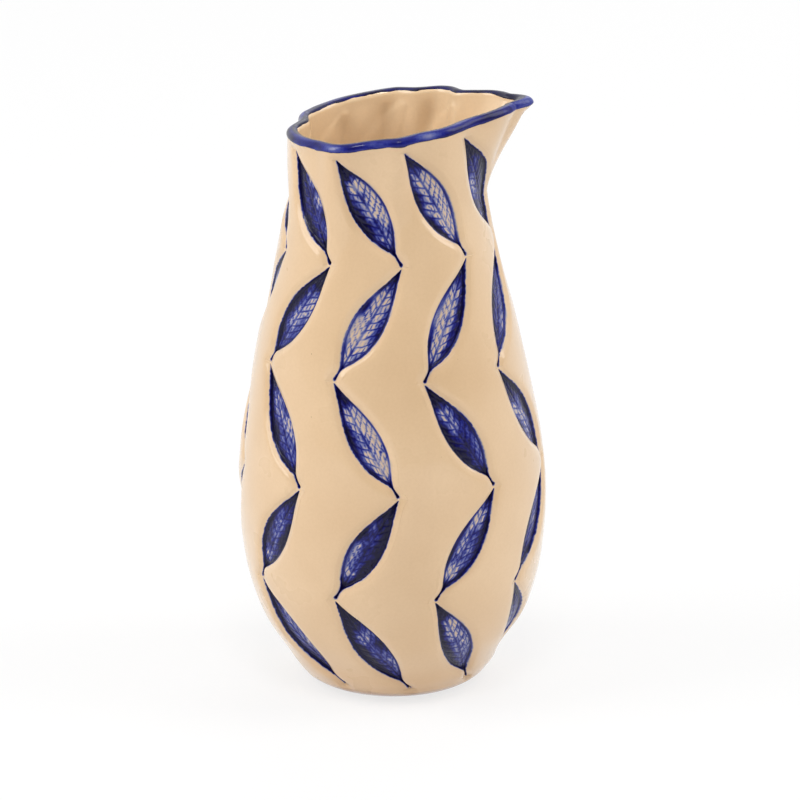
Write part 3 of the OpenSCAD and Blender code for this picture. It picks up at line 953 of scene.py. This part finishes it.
def make_liner(material):
    """The clear glaze of the inside, as a thin shell on the clay."""
    a = grid_angles(*LINER_DIRECTIONS)[None, :]
    count = a.shape[1]
    turns = np.linspace(LINER_TURN, 180, 8, endpoint=False)
    drop = inside_heights(18, 96, 12)
    z = np.concatenate([np.full(len(turns), LIP_Z), drop])[:, None]
    turn = np.concatenate([turns, np.full(len(drop), 180.0)])[:, None]
    relief = bulge(a, z)
    near = skin(a, z, turn, relief + LINER_NEAR)
    far = skin(a, z, turn, relief + LINER_FAR)
    rings = len(z)
    second = rings * count
    points = np.concatenate([far.reshape(-1, 3), near.reshape(-1, 3),
                             [[-FLOOR_BACK, 0, FLOOR_Z + LINER_FAR], [-FLOOR_BACK, 0, FLOOR_Z + LINER_NEAR]]])
    faces = ring_faces(rings, count)
    faces += fan(len(points) - 2, list(range(second - count, second)))
    faces += [face[::-1] for face in ring_faces(rings, count, second)] + band(second, 0, count)
    faces += fan(len(points) - 1, list(range(2 * second - count, 2 * second)), flip=True)
    piece = add_piece("inner_glaze", points, faces, material)
    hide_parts("liner_glaze")


def make_foot(material):
    """The bare ring, turned, with worn edges."""
    angles = np.linspace(0, 360, 256, endpoint=False)
    count = len(angles)
    bevel = FOOT_H / 4
    inner = FOOT_R - FOOT_W
    turns = np.linspace(0, 90, 5)
    section = [(inner, FOOT_H)]
    section += [(inner + bevel - bevel * cosd(t), bevel - bevel * sind(t)) for t in turns]
    section += [(between(inner + bevel, FOOT_R - bevel, s), 0.0) for s in (0.25, 0.5, 0.75)]
    section += [(FOOT_R - bevel + bevel * sind(t), bevel - bevel * cosd(t)) for t in turns]
    section += [(FOOT_R, FOOT_H)]
    worn = WORN_D * np.abs(lattice_noise(angles / 7, angles * 0, WORN_SEED))
    rings = []
    for r, z in section:
        r_here = r - worn * (z < FOOT_H)
        rings.append(np.stack([r_here * cosd(angles), r_here * sind(angles), np.full(count, z)], axis=-1))
    points = np.concatenate(rings)
    faces = [face[::-1] for face in ring_faces(len(section), count)]
    faces += band((len(section) - 1) * count, 0, count)
    piece = add_piece("bare_foot", points, faces, material)
    piece.data.set_sharp_from_angle(angle=math.radians(50))
    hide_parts("foot_ring")


def make_camera():
    """The photograph's view: from the side, a little above, with a long lens."""
    elevation = math.radians(CAMERA_ANGLE)
    aim = Vector([c * MM for c in CAMERA_AIM])
    data = bpy.data.cameras.new("camera")
    data.sensor_width = 36
    data.lens = CAMERA_LENS
    data.clip_end = 100
    camera = bpy.data.objects.new("camera", data)
    camera.location = aim + CAMERA_FAR * Vector((0, -math.cos(elevation), math.sin(elevation)))
    camera.rotation_euler = (aim - camera.location).to_track_quat("-Z", "Y").to_euler()
    bpy.context.scene.collection.objects.link(camera)
    bpy.context.scene.camera = camera


def add_light(name, place, size, power):
    """A rectangular lamp that points at the jug."""
    data = bpy.data.lights.new(name, "AREA")
    data.shape = "RECTANGLE"
    data.size, data.size_y = size
    data.energy = power
    light = bpy.data.objects.new(name, data)
    light.location = place
    light.rotation_euler = (Vector(LIGHT_AIM) - light.location).to_track_quat("-Z", "Y").to_euler()
    bpy.context.scene.collection.objects.link(light)


def seen_as_background(tree):
    """1 for a ray that should see the white background, and 0 for light on the object."""
    path = tree.nodes.new("ShaderNodeLightPath")
    seen = sum_of(tree, path.outputs["Is Camera Ray"], path.outputs["Is Glossy Ray"], "MAXIMUM")
    return sum_of(tree, seen, path.outputs["Is Transmission Ray"], "MAXIMUM")


def backdrop_strength(tree):
    """White to the eye; what the glaze mirrors of it fades towards the dark front of the studio."""
    path = tree.nodes.new("ShaderNodeLightPath")
    way = tree.nodes.new("ShaderNodeSeparateXYZ")
    tree.links.new(tree.nodes.new("ShaderNodeTexCoord").outputs["Generated"], way.inputs[0])
    fading = span(tree, way.outputs["Y"], -0.6, 0.3, 0.06, 1.0)
    straight = sum_of(tree, path.outputs["Is Camera Ray"], path.outputs["Is Transmission Ray"], "MAXIMUM")
    return sum_of(tree, straight, fading, "MAXIMUM")


def make_studio():
    """Large soft lights on both sides, above and behind, in a white world."""
    for name, place, size, power in LIGHTS:
        add_light(name, place, size, power)
    world = bpy.data.worlds.new("studio")
    bpy.context.scene.world = world
    world.use_nodes = True
    tree = world.node_tree
    tree.nodes.clear()
    output = tree.nodes.new("ShaderNodeOutputWorld")
    mix = tree.nodes.new("ShaderNodeMixShader")
    around = tree.nodes.new("ShaderNodeBackground")
    around.inputs["Color"].default_value = WHITE
    around.inputs["Strength"].default_value = AROUND_LIGHT
    white = tree.nodes.new("ShaderNodeBackground")
    white.inputs["Color"].default_value = WHITE
    tree.links.new(backdrop_strength(tree), white.inputs["Strength"])
    tree.links.new(seen_as_background(tree), mix.inputs[0])
    tree.links.new(around.outputs[0], mix.inputs[1])
    tree.links.new(white.outputs[0], mix.inputs[2])
    tree.links.new(mix.outputs[0], output.inputs["Surface"])


def make_floor():
    """A pale floor that looks white."""
    material = bpy.data.materials.new("pale_floor")
    material.use_nodes = True
    tree = material.node_tree
    tree.nodes.clear()
    output = tree.nodes.new("ShaderNodeOutputMaterial")
    mix = tree.nodes.new("ShaderNodeMixShader")
    matt = tree.nodes.new("ShaderNodeBsdfDiffuse")
    matt.inputs["Color"].default_value = FLOOR_WHITE
    glow = tree.nodes.new("ShaderNodeEmission")
    glow.inputs["Color"].default_value = WHITE
    glow.inputs["Strength"].default_value = 1.0
    tree.links.new(sum_of(tree, seen_as_background(tree), FLOOR_GLOW, "MULTIPLY"), mix.inputs[0])
    tree.links.new(matt.outputs[0], mix.inputs[1])
    tree.links.new(glow.outputs[0], mix.inputs[2])
    tree.links.new(mix.outputs[0], output.inputs["Surface"])
    bpy.ops.mesh.primitive_circle_add(vertices=96, radius=FLOOR_R, fill_type="NGON", location=(0, 0, 0))
    floor = bpy.context.object
    floor.name = "floor"
    floor.data.materials.append(material)


bpy.context.scene.view_settings.view_transform = "Standard"
make_camera()
make_body(glaze("outside_glaze", foot_line=True))
leaf_glaze = glaze("leaf_glaze", blue=True, foot_line=True)
for row in range(1, LEAF_ROWS + 1):
    make_leaf_row(row, leaf_glaze)
make_rim(glaze("rim_glaze", blue=True))
# The inside glaze is painted lighter than the outside clay, as painted light in the mouth
make_liner(glaze("inside_glaze_brightened", light=INSIDE_BRIGHTENED_LIGHT, deep=INSIDE_BRIGHTENED_DEEP))
make_foot(bare_clay("bare_clay"))
make_studio()
make_floor()
